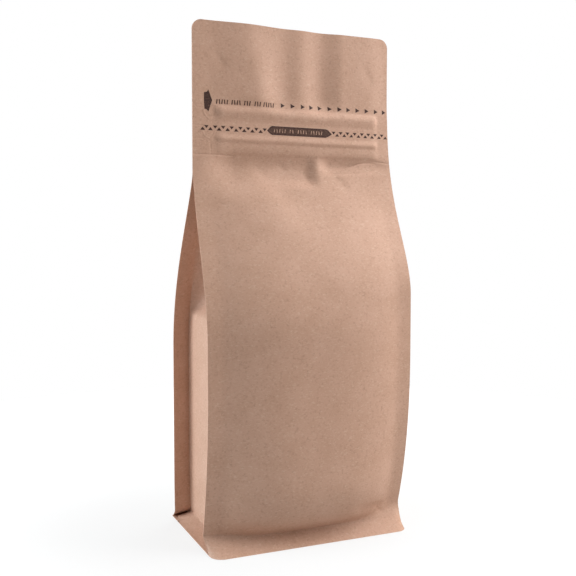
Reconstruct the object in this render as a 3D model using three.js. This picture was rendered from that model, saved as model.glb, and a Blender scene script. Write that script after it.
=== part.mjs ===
// A shut flat-bottom pouch of kraft paper laminate, standing on its base.
//
// It is one closed skin: a front and a back panel, two side gussets that are folded in at the top and
// spread open at the bottom, and a base with a flared seal flange. The header above the zipper is flat.
// It is shut and can't be seen into, so it is one solid, lofted up through level cross sections.
//
// Millimetres. X runs across the front, Y from front to back and Z up. The origin is on the floor,
// under the middle of the pouch.

import * as THREE from 'three';
import { LoftGeometry } from 'three/addons/geometries/LoftGeometry.js';

// Overall size.
const WIDTH = 130;             // front panel, across both corner seals
const HEIGHT = 309;            // floor to top edge
const GUSSET = 70;             // side gusset laid flat, between its two corner seals
const CORNER_RADIUS = 6;       // top corners of the header

// Laminate, drawn thicker than the paper so that it stays a sound solid.
const SEAL_WIDTH = 8.5;        // each vertical corner seal
const SEAL_THICK = 0.8;        // two plies sealed together
const LEAST_SEAL = 0.15;       // what is left of their inner faces in the flat header
const HEADER_THICK = 1.8;      // front and back plies with the zipper between them
const HEADER_FRONT = -10;      // Y of the header's front face, forward of the middle of the base
const EDGE_GROOVE = 0.5;       // depth of the slit between front and back plies at the header's sides
const SHUT_GAP = 1.2;          // the fold is shut where its two seals stand closer than this
const OPEN_GAP = 6;            // and free where they stand farther apart than this

// How far the panels stand out of the header's plane. Each line leaves it at top and has travelled
// its full reach at full, slowly at first where lead is over 1. Below lower it is drawn in again by
// tuck, most at the crease.
const FRONT_LEFT = { top: 229, full: 122, reach: 26, lead: 1, lower: 91, tuck: 10.6, sharp: 1.9 };
const FRONT_RIGHT = { top: 285, full: 147, reach: 30.4, lead: 1.74, lower: 118, tuck: 13.4, sharp: 2.4 };
const FRONT_MIDDLE = { top: 236, full: 132, reach: 37.75, lead: 1, lower: 60, tuck: 10, sharp: 3 };
const BACK_EDGE = { top: 220, full: 113, reach: 43.8, lead: 0.7, lower: 40, tuck: 0.5, sharp: 2 };
const BACK_MIDDLE = { top: 228, full: 118, reach: 56.2, lead: 0.8, lower: 60, tuck: 10, sharp: 3 };
const BELLY_POWER = 2.4;       // how squarely the panels bulge between their edges

// The base.
const CREASE_Z = 9;            // where the panels turn out again into the seal flange
const FLANGE_THICK = 0.8;
const FLANGE_LEDGE = 1.3;      // where the gussets stand up from the side flange
const FLANGE_HALF = 64;        // half the flange's width on the floor
const FLANGE_FRONT = { y: -42, inward: 1, radius: 7.5, flare: 1.3 };
const FLANGE_BACK = { y: 47, inward: -1, radius: 3, flare: 1.9 };

// The side gussets.
const REST_INSET = 4.2;        // how far an opened gusset stays hollow between its seals
const FOLD_BELOW = 100;        // the gusset is spread flat below this height
const FOLD_ABOVE = 125;        // and free to fold in above this one
const SPREAD_POWER = 9;        // section powers of a spread and of a folded gusset
const FOLDED_POWER = 1.15;

// Relief of the header: the zipper strip with its two ribs, and soft upright waves above it.
const STRIP = { bottom: 231, top: 261.5, left: -53, right: 58, rise: 0.3 };
const RIBS = [{ z: 240.5, half: 3, rise: 0.9 }, { z: 257.5, half: 3, rise: 0.9 }];
const WAVES = [
  { x: -33, width: 13, rise: 1.2 },
  { x: 3, width: 5, rise: 0.7 },
  { x: 16, width: 11, rise: -1.5 },
  { x: 39, width: 9, rise: 0.8 },
];
const WAVES_FROM = 262;
const WAVES_FULL = 290;

// How finely the skin is divided.
const PANEL_STEPS = 24;        // across a panel, between its corner seals
const SEAL_SHARES = [1, 0.985, 0.94];
const GUSSET_SHARES = [0, 0.04, 0.12, 0.26, 0.42, 0.5, 0.58, 0.74, 0.88, 0.96, 1];
const CORNER_STEPS = 5;
const LEVELS = [
  0, FLANGE_THICK, FLANGE_LEDGE, 2.8, 4.5, 6.5, CREASE_Z, 11.5, 14.5, 18.5, 24, 31, 40, 51, 64, 78,
  92, 102, 110, 117, 123, 129, 135, 141, 147, 153, 160, 167, 174, 181, 188, 195, 202, 208, 213, 217,
  220, 223, 226, 229, STRIP.bottom, STRIP.bottom + 0.6, 234.5,
  ...RIBS.flatMap(({ z, half }) => [z - half, z - half / 2, z, z + half / 2, z + half]),
  STRIP.top, 267, 273, 280, 287, 295,
  ...Array.from({ length: CORNER_STEPS + 1 }, (_, i) =>
    HEIGHT - CORNER_RADIUS * (1 - Math.sin(((Math.PI / 2) * i) / CORNER_STEPS))),
];

const clamp01 = (t) => THREE.MathUtils.clamp(t, 0, 1);
const smooth = (t) => THREE.MathUtils.smoothstep(t, 0, 1);
const mix = THREE.MathUtils.lerp;

// How far a line of the panels stands out of the header's plane at height z.
function reachAt({ top, full, reach, lead, lower, tuck, sharp }, z) {
  const opened = smooth(clamp01((top - z) / (top - full)) ** lead);
  const drawnIn = clamp01((lower - z) / (lower - CREASE_Z)) ** sharp;
  return reach * opened - tuck * drawnIn;
}

// Half the width of the panels at height z: the flange at the floor, and the header's round corners.
function halfWidth(z) {
  const intoCorner = Math.max(0, z - (HEIGHT - CORNER_RADIUS));
  const cut = CORNER_RADIUS - Math.sqrt(Math.max(0, CORNER_RADIUS ** 2 - intoCorner ** 2));
  return mix(FLANGE_HALF, WIDTH / 2, clamp01(z / CREASE_Z)) - cut;
}

// How far a panel bulges at x, from 0 at its edges to 1 at the middle.
const belly = (x) => 1 - Math.abs(x / (WIDTH / 2)) ** BELLY_POWER;

// A ridge across a strip, 1 on its crest and 0 beyond its half width.
const ridge = (distance, half) =>
  Math.abs(distance) < half ? Math.cos((Math.PI / 2) * (distance / half)) ** 2 : 0;

// The header's soft waves move both of its faces forward together.
function waveAt(x, z) {
  const grown = smooth((z - WAVES_FROM) / (WAVES_FULL - WAVES_FROM));
  return grown * WAVES.reduce((sum, w) => sum + w.rise * Math.exp(-(((x - w.x) / w.width) ** 2)), 0);
}

// The zipper strip stands proud of the front face, with a rib along each of its two closures.
function stripAt(x, z) {
  const along = smooth((x - STRIP.left) / 3) * smooth((STRIP.right - x) / 3);
  const across = smooth((z - STRIP.bottom) / 0.6) * smooth((STRIP.top - z) / 0.6);
  const ribs = RIBS.reduce((sum, rib) => sum + rib.rise * ridge(z - rib.z, rib.half), 0);
  return along * (STRIP.rise * across + ribs);
}

// Where a panel ends at height z: its own y, or on its way out to the flange's round-cornered edge.
function flared(panel, flange, x, z) {
  const intoCorner = Math.max(0, Math.abs(x) - (FLANGE_HALF - flange.radius));
  const cut = flange.radius - Math.sqrt(Math.max(0, flange.radius ** 2 - intoCorner ** 2));
  return mix(panel, flange.y + flange.inward * cut, clamp01(1 - z / CREASE_Z) ** flange.flare);
}

// Y of the front face at x, z.
function frontY(x, z) {
  const left = reachAt(FRONT_LEFT, z);
  const right = reachAt(FRONT_RIGHT, z);
  const edge = mix(left, right, clamp01(x / WIDTH + 0.5));
  const bulge = (reachAt(FRONT_MIDDLE, z) - (left + right) / 2) * belly(x);
  return flared(HEADER_FRONT - edge - bulge - stripAt(x, z) - waveAt(x, z), FLANGE_FRONT, x, z);
}

// Y of the back face at x, z.
function backY(x, z) {
  const edge = reachAt(BACK_EDGE, z);
  const bulge = (reachAt(BACK_MIDDLE, z) - edge) * belly(x);
  return flared(HEADER_FRONT + HEADER_THICK + edge + bulge - waveAt(x, z), FLANGE_BACK, x, z);
}

// The side of a section, from the front panel's edge to the back panel's edge: the inner face of the
// front corner seal, the gusset and the inner face of the back corner seal. The gusset keeps its own
// width, so where the seals stand closer than that it folds in to make up the difference.
function sidePoints(side, z) {
  const edge = halfWidth(z);
  const tips = [frontY(side * edge, z) + SEAL_THICK, backY(side * edge, z) - SEAL_THICK];
  const open = smooth((tips[1] - tips[0] - SHUT_GAP) / (OPEN_GAP - SHUT_GAP));
  const inner = edge - mix(LEAST_SEAL, SEAL_WIDTH, open);
  const front = frontY(side * inner, z) + SEAL_THICK;
  const back = backY(side * inner, z) - SEAL_THICK;
  const free = smooth((z - FOLD_BELOW) / (FOLD_ABOVE - FOLD_BELOW));
  const folded = free * Math.sqrt(Math.max(0, (GUSSET / 2) ** 2 - ((back - front) / 2) ** 2));
  const inset = mix(EDGE_GROOVE, Math.hypot(folded, REST_INSET), open);
  const power = mix(SPREAD_POWER, FOLDED_POWER, (folded / (GUSSET / 2)) ** 0.4);
  const gusset = GUSSET_SHARES.map((u) =>
    [inner - inset * (1 - Math.abs(2 * u - 1) ** power), mix(front, back, u)]);
  return [[edge, tips[0]], ...gusset, [edge, tips[1]]].map(([x, y]) =>
    new THREE.Vector3(side * x, y, z));
}

// The same side on the floor, where the flange's edge runs straight from front to back.
function flangeSide(side, z) {
  const edge = halfWidth(z);
  const count = GUSSET_SHARES.length + 2;
  return Array.from({ length: count }, (_, i) => {
    const share = (i + 1) / (count + 1);
    return new THREE.Vector3(side * edge, mix(frontY(side * edge, z), backY(side * edge, z), share), z);
  });
}

// Shares of the half width at which a panel has its points: more in each corner seal, where the
// flange's corners are round, and the rest even.
function panelShares() {
  const inner = 1 - SEAL_WIDTH / (WIDTH / 2);
  const even = Array.from({ length: PANEL_STEPS + 1 }, (_, i) => mix(-inner, inner, i / PANEL_STEPS));
  return [...SEAL_SHARES.map((share) => -share), ...even, ...[...SEAL_SHARES].reverse()];
}

// One level cross section, counterclockwise from above, starting at the front left edge.
function section(z) {
  const edge = halfWidth(z);
  const across = panelShares().map((share) => share * edge);
  const front = across.map((x) => new THREE.Vector3(x, frontY(x, z), z));
  const back = [...across].reverse().map((x) => new THREE.Vector3(x, backY(x, z), z));
  const sideOf = z <= FLANGE_THICK ? flangeSide : sidePoints;
  return [...front, ...sideOf(1, z), ...back, ...sideOf(-1, z).reverse()];
}

const kraftPaper = new THREE.MeshStandardMaterial({ color: 0xc6a28a, roughness: 0.85, metalness: 0 });

const pouch = new THREE.Mesh(
  new LoftGeometry(LEVELS.map(section), { capStart: true, capEnd: true }), kraftPaper);
pouch.name = 'pouch';

const part = new THREE.Group();
part.add(pouch);

export default part;
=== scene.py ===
"""A shut flat-bottom pouch of kraft paper laminate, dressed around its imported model.

The classes hold their sizes in millimetres, and they become metres where a mesh is made. X runs across
the front panel, Y from front to back and Z up. The origin is on the floor, under the pouch's middle.
"""

import logging
import math
from dataclasses import dataclass, field
from enum import Enum
from functools import cache
from typing import Any, Iterable, Sequence

import bmesh
import bpy
import numpy as np
from bpy.types import Material, Node, NodeSocket, NodeTree, Object
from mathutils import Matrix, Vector


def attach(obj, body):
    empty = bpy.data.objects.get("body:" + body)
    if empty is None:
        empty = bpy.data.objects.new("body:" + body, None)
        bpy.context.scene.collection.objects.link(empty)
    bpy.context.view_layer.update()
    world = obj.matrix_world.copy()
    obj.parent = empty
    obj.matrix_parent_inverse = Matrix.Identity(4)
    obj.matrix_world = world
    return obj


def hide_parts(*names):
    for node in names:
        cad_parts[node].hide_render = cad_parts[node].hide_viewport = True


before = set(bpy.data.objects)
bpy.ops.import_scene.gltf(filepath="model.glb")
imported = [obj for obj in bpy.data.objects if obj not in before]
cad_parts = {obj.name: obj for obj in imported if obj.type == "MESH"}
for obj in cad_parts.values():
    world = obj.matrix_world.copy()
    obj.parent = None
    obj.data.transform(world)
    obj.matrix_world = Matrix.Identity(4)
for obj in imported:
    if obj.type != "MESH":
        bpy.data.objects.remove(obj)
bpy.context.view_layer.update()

CAD_NODE = "pouch"
BODY = "root"
METRE = 0.001
WHITE = (1.0, 1.0, 1.0, 1.0)
COOL = (0.9, 1.0, 1.08)  # tint of the lights on the left
# Inputs of the node that maps a range, and of the noise.
MAP_RANGE = ("Value", "From Min", "From Max", "To Min", "To Max")
NOISE = ("Vector", "Scale", "Detail", "Roughness", "Distortion")

Array = np.ndarray
Values = Array | float
Numbers = tuple[float, ...]
Triple = tuple[float, float, float]
Point = tuple[float, float]
Points = tuple[Point, ...]
Outline = list[Point]
Feed = dict[str | int, Any]

log = logging.getLogger("pouch")


# ---- Small sums


def smooth(t: Values) -> Array:
    """Ease from 0 to 1 as t goes from 0 to 1, flat at both ends."""
    t = np.clip(t, 0.0, 1.0)
    return t * t * (3.0 - 2.0 * t)


def mix(a: Values, b: Values, t: Values) -> Values:
    """Go from a to b as t goes from 0 to 1."""
    return a + (b - a) * t


def round_cut(radius: float, into: Values) -> Array:
    """How far a round corner has drawn an edge in, at a distance into the corner along that edge."""
    return radius - np.sqrt(np.maximum(0.0, radius**2 - np.maximum(0.0, into) ** 2))


def between(t: Array, ends: tuple[Values, float], soft: Point) -> Array:
    """1 between two ends, easing to 0 at them over the softness of each."""
    return smooth((t - ends[0]) / soft[0]) * smooth((ends[1] - t) / soft[1])


def steps(start: float, stop: float, pitch: float) -> list[float]:
    """Places about a pitch apart, from start up to but not including stop."""
    count = max(1, round((stop - start) / pitch))
    return [start + (stop - start) * i / count for i in range(count)]


def runs(starts: Sequence[Point]) -> list[float]:
    """Steps from each start to the next, each start with its pitch. The last start only ends them."""
    pairs = zip(starts, starts[1:])
    return [place for (start, pitch), (stop, _) in pairs for place in steps(start, stop, pitch)]


def per_metre(size_mm: float) -> float:
    """The texture scale that gives a pattern features of size_mm."""
    return 1.0 / (size_mm * METRE)


# ---- Finishes


class Tone(Enum):
    """Colours of the paper and of what is printed on it, in sRGB hex."""

    PAPER = "C0977F"
    PAPER_PALE = "C79E87"
    PAPER_FIBRE = "D6B69E"
    PAPER_FLECK = "9C7660"
    INK = "351A10"
    INK_WORN = "55352A"
    INK_PALE = "44281B"
    INK_PALE_WORN = "644536"
    FLOOR = "6E6E6D"


def linear(tone: Tone) -> tuple[float, float, float, float]:
    """Turn an sRGB hex colour into Blender's linear RGBA.

    Args:
        tone: The colour.

    Returns:
        Red, green, blue and a full alpha.
    """
    parts = [int(tone.value[i : i + 2], 16) / 255.0 for i in (0, 2, 4)]
    r, g, b = (c / 12.92 if c <= 0.04045 else ((c + 0.055) / 1.055) ** 2.4 for c in parts)
    return (r, g, b, 1.0)


def add_node(tree: NodeTree, kind: str, inputs: Feed | None = None, **settings: Any) -> Node:
    """Add a node with its settings, and fill its inputs with values or links.

    Args:
        tree: The material's node tree.
        kind: The node's bl_idname.
        inputs: Input name or number, with a plain value or the output socket to link.
        settings: Attributes to set on the node.

    Returns:
        The new node.
    """
    node = tree.nodes.new(kind)
    for name, value in settings.items():
        setattr(node, name, value)
    for key, value in (inputs or {}).items():
        if isinstance(value, NodeSocket):
            tree.links.new(value, node.inputs[key])
        else:
            node.inputs[key].default_value = value
    return node


def blend(
    tree: NodeTree, under: Tone | NodeSocket, over: Tone, share: NodeSocket, window: Triple
) -> NodeSocket:
    """Lay one tone over another where a pattern is high.

    Args:
        tree: The material's node tree.
        under: What lies below, a tone or a colour socket.
        over: The tone on top.
        share: The pattern's value.
        window: Pattern values where the top tone starts and where it is at its most, and how much
            of it then shows.

    Returns:
        The colour socket of the result.
    """
    low, high, most = window
    inputs = dict(zip(MAP_RANGE, (share, low, high, 0.0, most)))
    shown = add_node(tree, "ShaderNodeMapRange", inputs).outputs["Result"]
    under = linear(under) if isinstance(under, Tone) else under
    inputs = {"Factor": shown, 6: under, 7: linear(over)}
    return add_node(tree, "ShaderNodeMix", inputs, data_type="RGBA").outputs[2]


@dataclass(frozen=True)
class Finish:
    """A material of one shader, whose inputs each kind of finish fills in its own way."""

    name: str

    def inputs(self, tree: NodeTree) -> Feed:
        """Make what feeds the shader.

        Args:
            tree: The material's node tree.

        Returns:
            The shader's inputs.
        """
        raise NotImplementedError

    @cache
    def make(self) -> Material:
        """Build the node material, once for each finish.

        Returns:
            The material.
        """
        material = bpy.data.materials.new(self.name)
        material.use_nodes = True
        tree = material.node_tree
        tree.nodes.clear()
        shader = add_node(tree, "ShaderNodeBsdfPrincipled", self.inputs(tree))
        add_node(tree, "ShaderNodeOutputMaterial", {"Surface": shader.outputs["BSDF"]})
        return material


@dataclass(frozen=True)
class KraftPaper(Finish):
    """Unbleached kraft paper, machine glazed, laminated over foil and plastic film.

    The long brown fibres give the eye a fine mottle with pale and dark flecks, and the glazing leaves
    a dull, even sheen that pales the parts turned to the light. The film keeps the folds soft.
    """

    name: str = "kraft_paper_laminate"
    # Each pattern's size in mm, detail, roughness and distortion. A fibre is 0.03 mm wide, too fine
    # for the render, so it is drawn as wide as it needs to show.
    cloud: Numbers = (14.0, 3.0, 0.5, 0.0)  # where the pulp settled thicker
    grain: Numbers = (1.5, 4.0, 0.6, 0.0)  # clumps of fibres
    fibre: Numbers = (1.5, 2.0, 0.5, 0.6)
    fibre_turn: Triple = (0.3, 0.5, 0.2)
    fibre_stretch: Triple = (1.0, 0.6, 2.2)
    # Pattern values where a tone starts and where it is at its most, and how much of it then shows.
    cloud_window: Triple = (0.3, 0.7, 1.0)
    fleck_window: Triple = (0.53, 0.78, 0.62)
    fibre_window: Triple = (0.54, 0.76, 0.6)
    roughness: Point = (0.55, 0.68)
    ior: float = 1.42
    bump_mm: float = 0.05
    bump_strength: float = 0.35

    def inputs(self, tree: NodeTree) -> Feed:
        """Make what feeds the shader.

        Args:
            tree: The material's node tree.

        Returns:
            The shader's inputs.
        """
        place = add_node(tree, "ShaderNodeTexCoord").outputs["Object"]
        feed = {"Vector": place, "Rotation": self.fibre_turn, "Scale": self.fibre_stretch}
        turned = add_node(tree, "ShaderNodeMapping", feed).outputs["Vector"]
        cloud, grain, fibre = (
            add_node(tree, "ShaderNodeTexNoise", dict(zip(NOISE, (at, per_metre(mm), *rest)))).outputs["Fac"]
            for at, (mm, *rest) in ((place, self.cloud), (place, self.grain), (turned, self.fibre))
        )
        colour = blend(tree, Tone.PAPER, Tone.PAPER_PALE, cloud, self.cloud_window)
        colour = blend(tree, colour, Tone.PAPER_FLECK, grain, self.fleck_window)
        colour = blend(tree, colour, Tone.PAPER_FIBRE, fibre, self.fibre_window)
        feed = dict(zip(MAP_RANGE, (grain, *self.cloud_window[:2], *self.roughness)))
        dull = add_node(tree, "ShaderNodeMapRange", feed).outputs["Result"]
        feed = {"Strength": self.bump_strength, "Distance": self.bump_mm * METRE, "Height": fibre}
        bump = add_node(tree, "ShaderNodeBump", feed).outputs["Normal"]
        return {"Base Color": colour, "Roughness": dull, "IOR": self.ior, "Normal": bump}


@dataclass(frozen=True)
class PrintedInk(Finish):
    """Water-based printing ink, laid on bare kraft paper with a rubber plate.

    It soaks in, so it is as dull as the paper, and the fibres show through where it is thin.
    """

    full: Tone
    worn: Tone
    grain_mm: float = 0.9
    grain_detail: float = 4.0
    # Grain values where it starts to thin and where it is thinnest, and how worn it then looks.
    worn_window: Triple = (0.42, 0.72, 1.0)
    roughness: float = 0.7
    ior: float = 1.45

    def inputs(self, tree: NodeTree) -> Feed:
        """Make what feeds the shader.

        Args:
            tree: The material's node tree.

        Returns:
            The shader's inputs.
        """
        place = add_node(tree, "ShaderNodeTexCoord").outputs["Object"]
        feed = {"Vector": place, "Scale": per_metre(self.grain_mm), "Detail": self.grain_detail}
        grain = add_node(tree, "ShaderNodeTexNoise", feed).outputs["Fac"]
        colour = blend(tree, self.full, self.worn, grain, self.worn_window)
        return {"Base Color": colour, "Roughness": self.roughness, "IOR": self.ior}


@dataclass(frozen=True)
class FloorPaint(Finish):
    """The dull pale paint of the studio floor, which gives off light as if lit from all round."""

    name: str = "floor_paint"
    radius_mm: float = 520.0
    grain_mm: float = 40.0
    roughness: Point = (0.85, 0.9)
    gloss: float = 0.1
    # What it gives off by the pouch and at the rim, to the pouch and to the eye, and the shares of its
    # radius between which that changes.
    glow_on_pouch: Point = (0.52, 0.9)
    glow_seen: Point = (0.78, 0.95)
    glow_run: Point = (0.2, 0.6)

    def inputs(self, tree: NodeTree) -> Feed:
        """Make what feeds the shader.

        Args:
            tree: The material's node tree.

        Returns:
            The shader's inputs.
        """
        place = add_node(tree, "ShaderNodeTexCoord").outputs["Object"]
        feed = {"Vector": place, "Scale": per_metre(self.grain_mm)}
        grain = add_node(tree, "ShaderNodeTexNoise", feed).outputs["Fac"]
        away = add_node(tree, "ShaderNodeVectorMath", {0: place}, operation="LENGTH")
        seen = add_node(tree, "ShaderNodeLightPath").outputs["Is Camera Ray"]
        shade, near, far = (
            add_node(tree, "ShaderNodeMapRange", dict(zip(MAP_RANGE, feed))).outputs["Result"]
            for feed in (
                (grain, 0.0, 1.0, *self.roughness),
                *((seen, 0.0, 1.0, *glow) for glow in zip(self.glow_on_pouch, self.glow_seen)),
            )
        )
        run = (share * self.radius_mm * METRE for share in self.glow_run)
        feed = dict(zip(MAP_RANGE, (away.outputs["Value"], *run, near, far)))
        glow = add_node(tree, "ShaderNodeMapRange", feed, interpolation_type="SMOOTHSTEP")
        light = {"Emission Color": WHITE, "Emission Strength": glow.outputs["Result"]}
        paint = {"Base Color": linear(Tone.FLOOR), "Roughness": shade, "Specular IOR Level": self.gloss}
        return paint | light


# ---- Shape of the panels


@dataclass(frozen=True)
class PanelLine:
    """An upright line of a panel, by how far it stands out of the header's plane.

    It leaves the plane at top and has gone its full reach at full, slowly at first where lead is over
    1. Below lower it is drawn in again by tuck, most at the base crease.
    """

    top: float
    full: float
    reach: float
    lead: float
    lower: float
    tuck: float
    sharp: float
    crease: float = 9.0

    def at(self, z: Array) -> Array:
        """How far the line stands out at height z.

        Args:
            z: Heights.

        Returns:
            The distances from the header's plane.
        """
        opened = smooth(np.clip((self.top - z) / (self.top - self.full), 0, 1) ** self.lead)
        drawn_in = np.clip((self.lower - z) / (self.lower - self.crease), 0, 1) ** self.sharp
        return self.reach * opened - self.tuck * drawn_in


@dataclass(frozen=True)
class Flare:
    """How the foot of a panel turns out to the flange's edge on the floor.

    The crease it turns out at needn't be level, and neither need its turn be equally sharp all along:
    each is given as x, value places, straight from one to the next.
    """

    edge_y: float
    inward: float
    radius: float
    creases: Points
    powers: Points
    half_width: float = 64.0

    def at(self, panel: Array, x: Array, z: Array) -> Array:
        """Lead a panel's y out to the flange's round-cornered edge.

        Args:
            panel: The panel's own y.
            x: Places across.
            z: Heights.

        Returns:
            The y with the flare in it.
        """
        into = np.abs(x) - (self.half_width - self.radius)
        edge = self.edge_y + self.inward * round_cut(self.radius, into)
        crease = np.interp(x, *zip(*self.creases))
        power = np.interp(x, *zip(*self.powers))
        return mix(panel, edge, np.clip(1 - z / crease, 0, 1) ** power)


@dataclass(frozen=True)
class Fold:
    """A soft ridge or groove pressed along a straight stretch of a panel.

    Its flanks may differ: half is the half width on its left, looking from start to end, and
    other_half on its right. A rise below 0 is a groove.
    """

    start: Point
    end: Point
    half: float
    rise: float
    other_half: float | None = None
    fade: float = 0.3

    def at(self, x: Array, z: Array) -> Array:
        """How far the fold stands out at x, z.

        Args:
            x: Places across.
            z: Heights.

        Returns:
            The rise out of the panel.
        """
        along_x, along_z = self.end[0] - self.start[0], self.end[1] - self.start[1]
        length = math.hypot(along_x, along_z)
        dx, dz = x - self.start[0], z - self.start[1]
        t = (dx * along_x + dz * along_z) / length**2
        side = (dz * along_x - dx * along_z) / length
        half = np.where(side > 0, self.half, self.other_half or self.half)
        return self.rise * np.exp(-((side / half) ** 2)) * between(t, (0, 1), (self.fade, self.fade))


@dataclass(frozen=True)
class Hollow:
    """A shallow dish in a panel, with its own softness at each of its four sides."""

    sides: Point
    levels: Point
    depth: float
    side_softness: Point
    level_softness: Point
    slant: float = 0.0  # how steeply its lower side climbs to the right

    def at(self, x: Array, z: Array) -> Array:
        """How far the dish stands out at x, z, which is 0 or less.

        Args:
            x: Places across.
            z: Heights.

        Returns:
            The rise out of the panel.
        """
        across = between(x, self.sides, self.side_softness)
        levels = (self.levels[0] + self.slant * x, self.levels[1])
        return -self.depth * across * between(z, levels, self.level_softness)


@dataclass(frozen=True)
class Rib:
    """A level ridge where one closure of the press zipper lies behind the front ply."""

    z: float
    above: float
    below: float
    rise: float

    def at(self, z: Array) -> Array:
        """How far the rib stands out at height z."""
        near = np.clip(np.abs(z - self.z) / np.where(z > self.z, self.above, self.below), 0, 1)
        return self.rise * np.cos(near * math.pi / 2) ** 2


@dataclass(frozen=True)
class ZipperStrip:
    """The raised strip of the front ply over the press zipper, with a rib along each closure."""

    sides: Point = (-53.0, 58.0)
    side_softness: Point = (6.0, 4.0)
    levels: Point = (231.0, 261.5)
    level_softness: Point = (2.4, 3.0)
    rise: float = 0.45
    ribs: tuple[Rib, ...] = (Rib(240.8, 3.6, 2.6, 0.75), Rib(256.6, 4.2, 6.0, 0.95))

    def at(self, x: Array, z: Array) -> Array:
        """How far the strip stands out at x, z.

        Args:
            x: Places across.
            z: Heights.

        Returns:
            The rise out of the header.
        """
        plateau = self.rise * between(z, self.levels, self.level_softness)
        along = between(x, self.sides, self.side_softness)
        return along * (plateau + sum(rib.at(z) for rib in self.ribs))


@dataclass(frozen=True)
class HeaderWaves:
    """The soft upright waves of the header, level at each knot and smooth from one to the next."""

    # fmt: off
    knots: Points = (
        (-65.0, 0.0), (-56.0, -0.1), (-29.0, 2.0), (-5.5, -1.6), (4.0, -0.9),
        (18.0, -2.8), (34.0, 0.0), (52.0, 0.4), (65.0, -0.4),
    )
    # fmt: on
    start_z: float = 254.0
    full_z: float = 268.0
    top_share: float = 0.7  # how much of them is left along the top edge
    top_run: float = 40.0
    # The first crest leans to the right on its way down, from lean_swing times as far to the left.
    lean: float = 5.0
    lean_x: float = -29.0
    lean_half: float = 14.0
    lean_run: float = 38.0
    lean_swing: float = 1.5

    def at(self, x: Array, z: Array) -> Array:
        """How far the header stands forward at x, z.

        Args:
            x: Places across.
            z: Heights.

        Returns:
            The distance forward.
        """
        lean = self.lean * (1 - smooth((z - self.full_z) / self.lean_run) * self.lean_swing)
        x = x - lean * np.exp(-(((x - self.lean_x) / self.lean_half) ** 2))
        wave = np.full(np.shape(x), self.knots[0][1])
        for (x0, rise0), (x1, rise1) in zip(self.knots, self.knots[1:]):
            wave = wave + (rise1 - rise0) * smooth((x - x0) / (x1 - x0))
        grown = smooth((z - self.start_z) / (self.full_z - self.start_z))
        return wave * grown * mix(1.0, self.top_share, smooth((z - self.full_z) / self.top_run))


@dataclass
class Crumple:
    """The faint unevenness of handled paper, as a sum of plane waves."""

    seed: int = 7
    count: int = 14
    rise: float = 0.16
    shortest: float = 16.0
    longest: float = 60.0
    waves: list[Numbers] = field(init=False)

    def __post_init__(self) -> None:
        """Draw the waves once, from the seed."""
        rng = np.random.default_rng(self.seed)
        self.waves = []
        for _ in range(self.count):
            length = rng.uniform(self.shortest, self.longest)
            angle = rng.uniform(0, math.pi)
            shift = rng.uniform(0, 2 * math.pi)
            turn = 2 * math.pi / length
            rise = self.rise * length / self.longest / math.sqrt(self.count)
            self.waves.append((turn * math.cos(angle), turn * math.sin(angle), shift, rise))

    def at(self, x: Array, z: Array) -> Array:
        """How far the paper stands out at x, z."""
        return sum(rise * np.sin(kx * x + kz * z + shift) for kx, kz, shift, rise in self.waves)


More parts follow.
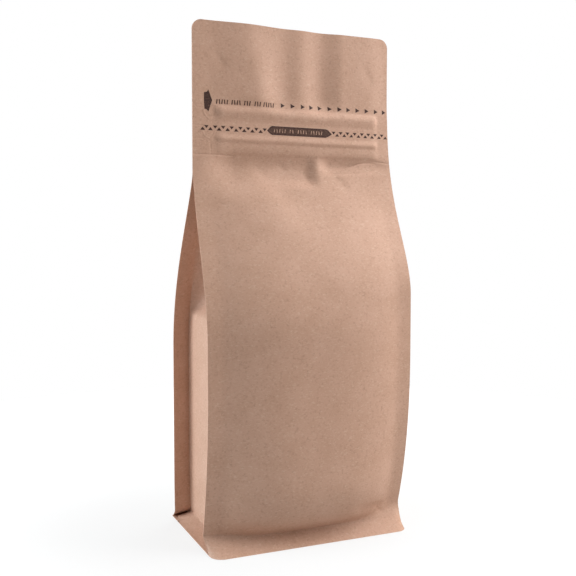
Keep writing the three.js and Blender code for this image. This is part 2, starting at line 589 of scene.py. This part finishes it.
@dataclass
class PouchShape:
    """The pouch's outline and relief, as y of its faces at any x, z."""

    width: float = 130.0
    height: float = 309.0
    gusset: float = 70.0
    corner_radius: float = 5.6
    seal_width: float = 10.0
    seal_thick: float = 0.5
    least_seal: float = 0.15
    header_front: float = -10.0
    header_thick: float = 1.1
    least_thick: float = 0.8  # both plies, wherever they lie on each other
    push_softness: float = 0.5
    edge_groove: float = 0.5
    shut_gap: float = 1.2
    open_gap: float = 6.0
    belly_power: float = 2.8
    seal_stiffness: float = 0.8  # 1 keeps the seals flat, 0 lets the belly run out through them
    seal_softness: float = 0.16  # how gently the belly starts beside them
    crease_z: float = 9.0
    flange_thick: float = 0.5
    flange_ledge: float = 0.9
    flange_half: float = 64.0
    rest_inset: float = 0.8
    back_seal_width: float = 10.6
    # The gusset's foot runs out over the side flange. From the first share of the gusset's width and
    # over the second one it is lifted, up to foot_lift off the floor at the back.
    foot_lift: float = 4.1
    foot_shares: Point = (0.3, 0.6)
    foot_power: float = 0.8
    foot_end: float = 0.05  # the share at the back seal over which it ends
    foot_margin: float = 0.4  # how far it stays inside the flange's edge
    # Where the gusset starts to fold in, at its front and back edges, and how gently.
    fold_front: float = 122.0
    fold_back: float = 92.0
    fold_run: float = 30.0
    # How squarely a spread and a folded gusset go in, and how soon it goes from one to the other.
    spread_power: float = 9.0
    folded_power: float = 1.15
    fold_ease: float = 0.4
    # Where the paper starts to be free to crumple, and how soon it is: in from the panel's edge and up
    # from the floor. Where the header starts to hold it, how soon and how much.
    calm_rim: Point = (4.0, 16.0)
    calm_foot: Point = (8.0, 14.0)
    calm_header: Point = (225.0, 8.0)
    header_calm: float = 0.6
    front_left: PanelLine = PanelLine(229, 122, 26, 1, 91, 10.6, 1.9)
    front_right: PanelLine = PanelLine(285, 147, 30.4, 1.74, 118, 13.4, 2.4, 15.0)
    front_middle: PanelLine = PanelLine(230, 122, 37.75, 0.8, 40, 16.0, 2.6, 6.5)
    back_edge: PanelLine = PanelLine(220, 113, 43.8, 0.7, 40, 0.5, 2)
    back_middle: PanelLine = PanelLine(228, 118, 56.2, 0.8, 60, 10, 3)
    front_flare: Flare = Flare(
        -42.0,
        1.0,
        7.5,
        ((-65, 9.5), (-50, 8.6), (-30, 7), (-15, 6.4), (5, 6.6), (31, 8.2), (46, 11), (60, 13)),
        ((-65, 1.3), (30, 1.2), (60, 1.7)),
    )
    back_flare: Flare = Flare(47.0, -1.0, 3.0, ((0, 9.0),), ((0, 1.9),))
    strip: ZipperStrip = ZipperStrip()
    waves: HeaderWaves = HeaderWaves()
    front_relief: tuple[Fold | Hollow, ...] = (
        # The hollow just under the zipper, soft on its left and crisp on its right, a flatter one
        # beside it, the small notch between them and the dents along their lower edge.
        Hollow((-60, 8), (202, 237), 3.1, (22, 30), (22, 13)),
        Hollow((-22, 16), (211, 237), 3.1, (30, 9), (8, 14)),
        Hollow((14, 66), (218.5, 236), 2.2, (10, 18), (7.5, 10), 0.05),
        Fold((5, 226), (10.5, 216), 1.2, -0.2, 2.2),
        Fold((-25, 226), (-18, 219), 1.6, -0.3, 3.0),
        Fold((-12, 230), (-4, 222), 1.4, -0.3, 2.4),
        # The long soft fold down the panel, and the plainer one beside it.
        Fold((-39, 232), (1, 172), 9.0, 1.35, 26.0, 0.4),
        Fold((23, 224), (36, 209), 2.5, -0.4, 4.0),
        Fold((-53, 202), (-42, 202), 0.7, -0.2),
        # Creases from handling, in the header.
        Fold((-52.5, 293), (-43, 280.5), 1.6, -0.22, 3.0),
        Fold((47, 293), (55.6, 277), 1.4, -0.22, 3.5),
        # Crumples at the foot.
        Fold((24, 19), (55, 14), 2.6, -0.9, 4.0),
        Fold((44, 15.5), (54, 8), 0.9, -0.4),
        Fold((-42, 62.5), (-29, 58.5), 1.5, -0.3, 3.0),
    )
    # Edges of the welded plies, and the cut tabs beside the zipper: the half width, rise and fade of
    # each kind, then its lines, each from x, z to x, z.
    # fmt: off
    hair_lines: tuple[Fold, ...] = tuple(
        Fold((x, z), (to_x, to_z), half, rise, fade=fade)
        for half, rise, fade, lines in (
            (0.35, -0.1, 0.1, ((-39.3, 262, -39.6, 220),)),
            (0.35, -0.15, 0.1, ((-54.2, 238, -54.0, 231),)),
            (0.35, -0.3, 0.05, ((-65, 231.2, -38, 231.2),)),
            (0.35, -0.1, 0.1, tuple((-65, z, -58, z) for z in (260, 248, 240.2, 235))),
            (0.35, -0.3, 0.05, ((54, 231, 65.5, 229.8),)),
            (0.3, 0.14, 0.1, (
                (-52.9, 260.6, -50.5, 259.9), (-50.6, 260.2, -50.9, 255.3), (-58.7, 256.6, -57.8, 254.5),
                (-58.1, 254.9, -55.1, 251.7), (-55.5, 251.7, -53.2, 252.3), (-58.9, 244.8, -57.8, 241.9),
                (-58.1, 242.3, -54.2, 240.0), (-54.6, 239.9, -52.3, 242.6), (-52.6, 242.1, -51.2, 245.2),
            )),
            (0.3, 0.12, 0.1, ((-53.0, 238.3, -50.2, 238.3),)),
        )
        for x, z, to_x, to_z in lines
    )
    # fmt: on
    front_crumple: Crumple = field(default_factory=lambda: Crumple(7))
    back_crumple: Crumple = field(default_factory=lambda: Crumple(23))

    def half_width(self, z: Values) -> Array:
        """Half the panels' width at height z, with the flange and the header's round corners.

        Args:
            z: Heights.

        Returns:
            The half widths.
        """
        cut = round_cut(self.corner_radius, z - (self.height - self.corner_radius))
        wide = mix(self.flange_half, self.width / 2, np.clip(z / self.crease_z, 0, 1))
        return wide - cut

    def belly(self, x: Array) -> Array:
        """How far a panel bulges, from 0 at its corner seals to 1 at the middle.

        Args:
            x: Places across.

        Returns:
            The shares.
        """
        inner = 1 - (np.abs(x) / (self.width / 2 - self.seal_width)) ** self.belly_power
        inner = (inner + np.sqrt(inner**2 + self.seal_softness**2)) / 2
        whole = 1 - np.clip(np.abs(x) / (self.width / 2), 0, 1) ** self.belly_power
        return mix(whole, inner, self.seal_stiffness)

    def calm(self, x: Array, z: Array) -> Array:
        """How free the paper is to crumple: not at all along the seals and the base.

        Args:
            x: Places across.
            z: Heights.

        Returns:
            The shares, up to 1.
        """
        (rim, rim_run), (foot, foot_run), (top, top_run) = self.calm_rim, self.calm_foot, self.calm_header
        off_seal = smooth((self.width / 2 - rim - np.abs(x)) / rim_run)
        below = 1 - self.header_calm * smooth((z - top) / top_run)
        return off_seal * smooth((z - foot) / foot_run) * below

    def front_y(self, x: Array, z: Array) -> Array:
        """Y of the front face.

        Args:
            x: Places across.
            z: Heights.

        Returns:
            The y at each place.
        """
        left, right = self.front_left.at(z), self.front_right.at(z)
        edge = mix(left, right, np.clip(x / self.width + 0.5, 0, 1))
        bulge = (self.front_middle.at(z) - (left + right) / 2) * self.belly(x)
        relief = sum(mark.at(x, z) for mark in self.front_relief + self.hair_lines)
        crumple = self.front_crumple.at(x, z) * self.calm(x, z)
        out = edge + bulge + relief + crumple + self.strip.at(x, z) + self.waves.at(x, z)
        return self.front_flare.at(self.header_front - out, x, z)

    def back_y(self, x: Array, z: Array) -> Array:
        """Y of the back face.

        Args:
            x: Places across.
            z: Heights.

        Returns:
            The y at each place.
        """
        edge = self.back_edge.at(z)
        bulge = (self.back_middle.at(z) - edge) * self.belly(x)
        crumple = self.back_crumple.at(x, z) * self.calm(x, z)
        out = self.header_front + self.header_thick + edge + bulge + crumple - self.waves.at(x, z)
        # Where the front ply is pressed in this far, it pushes the back one along.
        room = out - (self.front_y(x, z) + self.least_thick)
        out = out + (np.sqrt(room**2 + self.push_softness**2) - room) / 2
        return self.back_flare.at(out, x, z)


# ---- The skin


@dataclass
class PouchSkin:
    """The whole outside of the pouch as one closed skin, ring by ring up from the floor."""

    shape: PouchShape
    name: str = "pouch_skin"
    gusset_points: int = 31
    gusset_evenness: float = 0.5  # 0 crowds a gusset's points at its edges, 1 spaces them evenly
    seal_points: int = 6
    corner_steps: int = 10
    back_points: int = 61
    rim: float = 0.25  # from a panel's edge to its next point
    back_rim: float = 1.0  # and on the back to the one after
    sharp_angle: float = 40.0
    # Each place up or across from which points stand this far apart, closest along the base, the
    # zipper strip and the cut tabs.
    level_pitches: Points = ((14, 1.3), (40, 2.5), (200, 0.8), (228, 0.38), (263, 1.3))
    front_pitches: Points = ((-60, 0.38), (-50, 1.15))
    foot_pitch: float = 0.6
    seal_pitch: float = 0.8
    back_seal_pitch: float = 1.2
    # The bottom panel: how far in its weld ends and how soon it then rises, how high, the half widths
    # of its middle and corner creases and how much of that rise they take away.
    weld: Point = (8.5, 2.5)
    floor_lift: float = 0.4
    middle_crease: float = 0.9
    corner_crease: float = 1.2
    crease_share: float = 0.5
    floor_shares: Numbers = (
        0.985, 0.95, 0.9, 0.86, 0.83, 0.8, 0.76, 0.7, 0.6, 0.5, 0.4, 0.3, 0.2, 0.1, 0.03
    )

    def levels(self) -> list[float]:
        """Choose the heights of the rings.

        Returns:
            The heights.
        """
        shape, top, turns = self.shape, self.shape.height, self.corner_steps
        turned = [math.sin(math.pi / 2 * i / turns) for i in range(turns + 1)]
        arc = [top - shape.corner_radius * (1 - turn) for turn in turned]
        starts = ((shape.flange_ledge, self.foot_pitch), *self.level_pitches, (arc[0], 0.0))
        return [0.0, shape.flange_thick, *runs(starts), *arc]

    def places(self) -> tuple[Array, Array]:
        """Choose the points' places across the panels.

        Returns:
            Those across the front, from left to right, and across the back, from right to left.
        """
        half = self.shape.width / 2
        rim, inner = half - self.rim, half - self.shape.seal_width
        starts = ((-rim, self.seal_pitch), *self.front_pitches, (inner, self.seal_pitch), (rim, 0.0))
        right = [half, rim, *steps(half - self.back_rim, inner, self.back_seal_pitch)[:-1]]
        back = [*right, *np.linspace(inner, -inner, self.back_points), *(-x for x in right[::-1])]
        return np.array([-half, *runs(starts), rim, half]), np.array(back)

    def side_points(self, side: int, z: float) -> Outline:
        """One side of a ring, from the front panel's edge to the back panel's edge.

        In the flange it is straight. Above, it is the inner face of the front corner seal, the gusset
        and the inner face of the back corner seal. The gusset keeps its own width, so where the seals
        stand closer than that it folds in.

        Args:
            side: 1 for the right side and -1 for the left.
            z: The ring's height.

        Returns:
            Its x, y points.
        """
        shape, thick = self.shape, self.shape.seal_thick
        edge = float(shape.half_width(z))
        front_tip, back_tip = (float(y(side * edge, z)) for y in (shape.front_y, shape.back_y))
        if z <= shape.flange_thick:
            count = self.gusset_points + 2 * (self.seal_points - 1)
            share = (np.arange(count) + 1) / (count + 1)
            return [(side * edge, float(y)) for y in mix(front_tip, back_tip, share)]
        gap = (back_tip - thick) - (front_tip + thick)
        opened = float(smooth((gap - shape.shut_gap) / (shape.open_gap - shape.shut_gap)))
        widths = (shape.seal_width, shape.back_seal_width)
        ends = [edge - mix(shape.least_seal, wide, opened) for wide in widths]
        front_seal, back_seal = (np.linspace(edge, end, self.seal_points)[:-1] for end in ends)
        front_seal_y = shape.front_y(side * front_seal, z) + thick
        back_seal_y = shape.back_y(side * back_seal, z) - thick
        front = float(shape.front_y(side * ends[0], z)) + thick
        back = float(shape.back_y(side * ends[1], z)) - thick
        share = 0.5 - 0.5 * np.cos(np.linspace(0, math.pi, self.gusset_points))
        share = mix(share, np.linspace(0, 1, self.gusset_points), self.gusset_evenness)
        free = smooth((z - mix(shape.fold_front, shape.fold_back, share)) / shape.fold_run)
        folded = free * math.sqrt(max(0.0, (shape.gusset / 2) ** 2 - ((back - front) / 2) ** 2))
        inset = mix(shape.edge_groove, np.hypot(folded, shape.rest_inset), opened)
        folding = (folded / (shape.gusset / 2)) ** shape.fold_ease
        power = mix(shape.spread_power, shape.folded_power, folding)
        gusset_x = mix(ends[0], ends[1], share) - inset * (1 - np.abs(2 * share - 1) ** power)
        lift_from, lift_run = shape.foot_shares
        foot = mix(shape.flange_ledge, shape.foot_lift, smooth((share - lift_from) / lift_run))
        spread = np.clip(1 - z / foot, 0, 1) ** shape.foot_power * smooth((1 - share) / shape.foot_end)
        gusset_x = mix(gusset_x, edge - shape.foot_margin, spread)
        points = [
            *zip(front_seal, front_seal_y),
            *zip(gusset_x, mix(front, back, share)),
            *zip(back_seal[::-1], back_seal_y[::-1]),
        ]
        return [(side * float(x), float(y)) for x, y in points]

    def ring(self, z: float) -> list[Triple]:
        """One level ring, counterclockwise from above, starting at the front left edge.

        Args:
            z: The ring's height.

        Returns:
            Its points.
        """
        shape = self.shape
        stretch = float(shape.half_width(z)) / (shape.width / 2)
        front_x, back_x = (places * stretch for places in self.places())
        outline = [
            *zip(front_x, shape.front_y(front_x, z)),
            *self.side_points(1, z),
            *zip(back_x, shape.back_y(back_x, z)),
            *reversed(self.side_points(-1, z)),
        ]
        return [(float(x), float(y), z) for x, y in outline]

    def underside(self, rim: Array) -> list[Array]:
        """Rings of the bottom panel, from just inside the floor's rim to its middle.

        The bottom panel is welded to the flange round its edge and lies a little higher inside it. It
        keeps the creases of being packed flat: one along its middle, and one to each corner.

        Args:
            rim: The rim's x, y points.

        Returns:
            The rings, each as an array of points.
        """
        half_x, half_y = np.abs(rim[:, 0]).max(), np.abs(rim[:, 1]).max()
        rings = []
        for share in self.floor_shares:
            x, y = rim[:, 0] * share, rim[:, 1] * share
            in_x, in_y = half_x - np.abs(x), half_y - np.abs(y)
            lifted = self.floor_lift * smooth((np.minimum(in_x, in_y) - self.weld[0]) / self.weld[1])
            middle = np.exp(-((y / self.middle_crease) ** 2)) * (np.abs(x) < half_x - half_y)
            diagonal = np.exp(-(((in_x - in_y) / self.corner_crease) ** 2))
            z = lifted * (1 - self.crease_share * np.maximum(middle, diagonal))
            rings.append(np.stack([x, y, z], 1))
        return rings

    def build(self) -> Object:
        """Make the mesh.

        Returns:
            The new object, still without a material.
        """
        rings = [np.array(self.ring(z)) for z in self.levels()]
        rows = self.underside(rings[0][:, :2])[::-1] + rings
        count = len(rings[0])
        verts = np.concatenate(rows) * METRE
        faces: list[tuple[int, ...]] = [tuple(reversed(range(count)))]
        for row in range(len(rows) - 1):
            low, high = row * count, (row + 1) * count
            for i in range(count):
                j = (i + 1) % count
                faces.append((low + i, low + j, high + j, high + i))
        last = (len(rows) - 1) * count
        faces.append(tuple(range(last, last + count)))
        mesh = bpy.data.meshes.new(self.name)
        mesh.from_pydata(verts.tolist(), [], faces)
        mesh.validate()
        mesh.polygons.foreach_set("use_smooth", [True] * len(mesh.polygons))
        mesh.set_sharp_from_angle(angle=math.radians(self.sharp_angle))
        mesh.update()
        return link(bpy.data.objects.new(self.name, mesh))


def link(piece: Object) -> Object:
    """Put an object into the scene and return it."""
    bpy.context.scene.collection.objects.link(piece)
    return piece


# ---- What is printed on the header


class Arrow(Enum):
    """Which way a printed triangle points."""

    RIGHT = (1, 0)
    UP = (0, 1)
    DOWN = (0, -1)


@dataclass
class PrintedSheet:
    """Ink marks that follow the front face, as plates as thin as ink shows."""

    shape: PouchShape
    sunk: float = 0.06
    pitch_x: float = 1.2
    pitch_z: float = 0.4
    tolerance: float = 1e-4

    def build(self, name: str, outlines: Iterable[Outline], proud: float) -> Object:
        """Make one mesh of closed thin plates.

        Args:
            name: The object's name.
            outlines: The marks, each as x, z corners.
            proud: How far the ink stands proud of the paper.

        Returns:
            The new object, still without a material.
        """
        bm = bmesh.new()
        for outline in outlines:
            bm.faces.new([bm.verts.new((x, 0.0, z)) for x, z in outline])
        # They are cut across, at even x and then at even z, so that they can follow the paper.
        for axis, pitch in ((0, self.pitch_x), (2, self.pitch_z)):
            places = [vert.co[axis] for vert in bm.verts]
            normal = Vector((0, 0, 0))
            normal[axis] = 1.0
            for place in np.arange(min(places) + pitch / 2, max(places), pitch):
                geom = bm.verts[:] + bm.edges[:] + bm.faces[:]
                at = normal * float(place)
                bmesh.ops.bisect_plane(bm, geom=geom, plane_co=at, plane_no=normal, dist=self.tolerance)
        bmesh.ops.triangulate(bm, faces=bm.faces[:])
        lower = bm.verts[:]
        raised = bmesh.ops.extrude_face_region(bm, geom=bm.faces[:], use_keep_orig=True)
        upper = [item for item in raised["geom"] if isinstance(item, bmesh.types.BMVert)]
        for verts, offset in ((lower, self.sunk), (upper, -proud)):
            flat = np.array([vert.co for vert in verts])
            y = self.shape.front_y(flat[:, 0], flat[:, 2]) + offset
            for vert, value in zip(verts, y):
                vert.co.y = value
        bmesh.ops.recalc_face_normals(bm, faces=bm.faces[:])
        bmesh.ops.scale(bm, vec=Vector((METRE, METRE, METRE)), verts=bm.verts[:])
        mesh = bpy.data.meshes.new(name)
        bm.to_mesh(mesh)
        bm.free()
        return link(bpy.data.objects.new(name, mesh))


@dataclass(frozen=True)
class TriangleRow:
    """Printed triangles beside each other, all alike."""

    places: Numbers
    z: float
    way: Arrow
    base: float
    height: float

    def outlines(self) -> list[Outline]:
        """Draw the triangles.

        Returns:
            The corners of each, with its tip last.
        """
        ahead_x, ahead_z = (part * self.height / 2 for part in self.way.value)
        side_z, side_x = (part * self.base / 2 for part in self.way.value)
        corners = [(end * side_x - ahead_x, -end * side_z - ahead_z) for end in (-1, 1)]
        corners.append((ahead_x, ahead_z))
        return [[(x + dx, self.z + dz) for dx, dz in corners] for x in self.places]


@dataclass(frozen=True)
class StrokeRow:
    """Plain printed strokes in groups, each with its start and count, that lean right and left."""

    groups: tuple[tuple[float, int], ...]
    z: float
    tall: float
    wide: float
    pitch: float = 0.0
    lean: float = 0.0

    def outlines(self) -> list[Outline]:
        """Draw the strokes.

        Returns:
            The corners of each.
        """
        outlines = []
        half, low, high = self.wide / 2, self.z - self.tall / 2, self.z + self.tall / 2
        for start, count in self.groups:
            for i in range(count):
                x, lean = start + self.pitch * i, self.lean / 2 * (-1) ** i
                foot = [(x - half - lean, low), (x + half - lean, low)]
                outlines.append(foot + [(x + half + lean, high), (x - half + lean, high)])
        return outlines


def drawn(rows: Iterable[TriangleRow | StrokeRow]) -> list[Outline]:
    """Draw the marks of several rows."""
    return [outline for row in rows for outline in row.outlines()]


@dataclass
class HeaderPrint:
    """The marks printed along the tear line and the zipper, with no lettering."""

    shape: PouchShape
    # fmt: off
    tear_arrows: TriangleRow = TriangleRow(
        (-7.5, -0.9, 5.8, 11.8, 17.9, 24.5, 30.9, 37.0, 43.4, 49.9, 56.6, 62.7),
        262.8, Arrow.RIGHT, 2.9, 2.8,
    )
    # Two rows of small triangles along the zipper, which make a zigzag between them.
    zigzag: tuple[TriangleRow, ...] = (
        TriangleRow((-59.0, -54.2, -48.9, -43.6, -38.3, -33.1, -27.9, -22.6), 246.25, Arrow.UP, 3.0, 1.9),
        TriangleRow((28.8, 33.8, 38.7, 43.8, 48.6, 53.4, 58.7, 63.3), 246.65, Arrow.UP, 2.8, 1.8),
        TriangleRow((-56.7, -51.3, -46.4, -41.1, -35.6, -30.6, -25.4, -20.0), 247.25, Arrow.DOWN, 2.8, 1.8),
        TriangleRow((26.3, 31.2, 36.0, 41.1, 46.2, 50.8, 55.8, 60.7), 247.75, Arrow.DOWN, 2.8, 1.8),
    )
    marker: Points = (
        (-58.0, 267.2), (-58.1, 262.4), (-57.8, 257.6), (-56.4, 257.3), (-55.4, 256.1), (-54.9, 257.4),
        (-54.3, 259.4), (-53.0, 262.7), (-54.1, 265.6), (-54.8, 267.5), (-55.4, 268.9), (-56.3, 267.5),
    )
    # fmt: on
    # Between the marker and the first arrow, and in a second tone inside the label and the marker.
    tear_strokes: StrokeRow = StrokeRow(
        ((-50.2, 5), (-40.8, 4), (-33.0, 3), (-26.4, 3), (-20.6, 5)), 262.3, 2.7, 0.7, 1.6, 0.35
    )
    label_strokes: StrokeRow = StrokeRow(
        ((-13.6, 5), (-3.2, 2), (2.2, 4), (11.0, 5)), 247.2, 2.1, 0.6, 1.75, 0.3
    )
    marker_strokes: tuple[StrokeRow, ...] = tuple(
        StrokeRow(((x, 1),), z, 0.5, 2.4)
        for x, z in ((-55.6, 259.6), (-56.0, 261.6), (-55.6, 263.6), (-56.0, 265.6))
    )
    label_ends: Point = (-15.2, 20.9)
    label_levels: Point = (244.6, 249.9)
    label_tip_levels: Point = (247.0, 246.9)
    label_end_inset: float = 0.4  # how much the ends move in with the edge
    label_blunting: float = 3.2  # how far in the tips would be gone
    label_edge: float = 0.75  # how wide the darker edge round the label is
    # How far each layer of ink stands proud of the paper.
    first_layer: float = 0.03
    second_layer: float = 0.045
    marker_layer: float = 0.05
    third_layer: float = 0.06

    def label(self, inset: float) -> Outline:
        """The long label in the middle of the zipper, with its pointed ends.

        Args:
            inset: How far inside the label's edge the outline runs.

        Returns:
            Its corners.
        """
        shift = inset * self.label_end_inset
        left, right = self.label_ends[0] + shift, self.label_ends[1] - shift
        low, high = self.label_levels[0] + inset, self.label_levels[1] - inset
        tip = 1.0 - inset / self.label_blunting
        return [
            (left, low),
            (right, low),
            (right + 2.0 * tip, low + 0.9 * tip),
            (right + 4.2 * tip, self.label_tip_levels[1]),
            (right + 1.6 * tip, high - 0.6 * tip),
            (right, high),
            (left, high),
            (left - 1.3 * tip, high - 0.7 * tip),
            (left - 3.2 * tip, self.label_tip_levels[0]),
            (left - 1.5 * tip, low + 0.8 * tip),
        ]

    def build(self) -> list[tuple[Object, PrintedInk]]:
        """Make every printed piece.

        Returns:
            Each new object with its finish.
        """
        ink = PrintedInk("printed_ink", Tone.INK, Tone.INK_WORN)
        pale = PrintedInk("printed_ink_thin", Tone.INK_PALE, Tone.INK_PALE_WORN)
        bare = PrintedInk("bare_paper_in_print", Tone.PAPER, Tone.INK_PALE_WORN)
        first, sheet = self.first_layer, PrintedSheet(self.shape)
        return [
            (sheet.build(name, outlines, proud), finish)
            for name, outlines, proud, finish in (
                ("print_marker", [list(self.marker)], first, ink),
                ("print_marker_strokes", drawn(self.marker_strokes), self.marker_layer, pale),
                ("print_tear_arrows", self.tear_arrows.outlines(), first, ink),
                ("print_tear_strokes", self.tear_strokes.outlines(), first, pale),
                ("print_zigzag", drawn(self.zigzag), first, ink),
                ("print_label_edge", [self.label(0.0)], first, ink),
                ("print_label_fill", [self.label(self.label_edge)], self.second_layer, pale),
                ("print_label_strokes", self.label_strokes.outlines(), self.third_layer, bare),
            )
        ]


# ---- The studio


@dataclass(frozen=True)
class SoftBox:
    """A square soft light, aimed at the middle of the pouch.

    Its turn goes round from straight in front of the pouch, at 0, to its right, at 90.
    """

    name: str
    turn: float
    climb: float
    distance_mm: float
    size_mm: Point
    watts: float
    tint: Triple = (1.0, 1.0, 1.0)
    aim_mm: Triple = (0.0, 0.0, 150.0)

    def build(self) -> None:
        """Hang the light."""
        data = bpy.data.lights.new(self.name, "AREA")
        data.shape = "RECTANGLE"
        data.size, data.size_y = (side * METRE for side in self.size_mm)
        data.energy = self.watts
        data.color = self.tint
        lamp = link(bpy.data.objects.new(self.name, data))
        turn, climb = math.radians(self.turn), math.radians(self.climb)
        level = math.cos(climb)
        away = Vector((math.sin(turn) * level, -math.cos(turn) * level, math.sin(climb)))
        lamp.location = (Vector(self.aim_mm) + away * self.distance_mm) * METRE
        lamp.rotation_euler = (-away).to_track_quat("-Z", "Y").to_euler()
        lamp.visible_camera = False


@dataclass
class Studio:
    """The pale floor, the soft lights and the camera."""

    paint: FloorPaint = FloorPaint()
    floor_sides: int = 96
    sky: float = 0.02
    camera_mm: Triple = (-208.0, -476.05, 178.5)
    yaw: float = 23.59
    pitch: float = 3.05
    lens: float = 51.54
    sensor: float = 36.0
    nearest_mm: float = 10.0
    lights: tuple[SoftBox, ...] = (
        SoftBox("light_right_high", 111, 68, 800, (1000, 1000), 9.3),
        SoftBox("light_right_middle", 60, 30, 800, (500, 500), 3.0),
        SoftBox("light_right_near", 60, 45, 450, (300, 300), 0.6),
        SoftBox("light_right_low", 60, 10, 800, (500, 500), 1.9),
        SoftBox("light_left_high", -88, 35, 1500, (1300, 1300), 13.0, COOL),
        SoftBox("light_left_behind", -110, 8, 800, (500, 500), 3.3, COOL),
        SoftBox("light_left_low", -105, 0, 1500, (500, 500), 4.4, COOL),
    )

    def floor(self) -> Object:
        """Lay the floor under the pouch.

        Returns:
            The floor's object.
        """
        radius = self.paint.radius_mm * METRE
        turns = [2 * math.pi * i / self.floor_sides for i in range(self.floor_sides)]
        rim = [(radius * math.cos(t), radius * math.sin(t), 0.0) for t in turns]
        mesh = bpy.data.meshes.new("floor")
        mesh.from_pydata(rim, [], [tuple(range(len(rim)))])
        piece = link(bpy.data.objects.new("floor", mesh))
        mesh.materials.append(self.paint.make())
        return piece

    def camera(self) -> Object:
        """Set up the camera at the photograph's place.

        Returns:
            The camera's object.
        """
        data = bpy.data.cameras.new("photo_camera")
        data.sensor_width = self.sensor
        data.lens = self.lens
        data.clip_start = self.nearest_mm * METRE
        camera = link(bpy.data.objects.new("photo_camera", data))
        camera.location = Vector(self.camera_mm) * METRE
        camera.rotation_euler = (math.radians(90 - self.pitch), 0, math.radians(-self.yaw))
        return camera

    def build(self) -> None:
        """Set up the floor, the surroundings, the lights and the camera."""
        self.floor()
        scene = bpy.context.scene
        world = bpy.data.worlds.new("studio_air")
        world.use_nodes = True
        tree = world.node_tree
        tree.nodes.clear()
        # The room is white to look at, but only the soft lights and the floor light the pouch.
        seen = add_node(tree, "ShaderNodeLightPath").outputs["Is Camera Ray"]
        dim = add_node(tree, "ShaderNodeMapRange", {"Value": seen, "To Min": self.sky})
        feed = {"Color": WHITE, "Strength": dim.outputs["Result"]}
        air = add_node(tree, "ShaderNodeBackground", feed)
        add_node(tree, "ShaderNodeOutputWorld", {"Surface": air.outputs["Background"]})
        scene.world = world
        for light in self.lights:
            light.build()
        scene.camera = self.camera()
        scene.view_settings.view_transform = "Standard"
        scene.view_settings.look = "None"


# ---- Putting it together


def finish_piece(piece: Object, finish: Finish) -> None:
    """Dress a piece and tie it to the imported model.

    Args:
        piece: The piece.
        finish: Its finish.
    """
    piece.data.materials.append(finish.make())
    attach(piece, BODY)
    log.info("%s: %d vertices, %s", piece.name, len(piece.data.vertices), finish.name)


def main() -> None:
    """Build the pouch and the studio, and report each piece."""
    logging.basicConfig(level=logging.INFO, format="%(name)s: %(message)s")
    Studio().build()
    shape = PouchShape()
    skin = PouchSkin(shape).build()
    finish_piece(skin, KraftPaper())
    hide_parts(CAD_NODE)
    for piece, finish in HeaderPrint(shape).build():
        finish_piece(piece, finish)


if __name__ == "__main__":
    main()
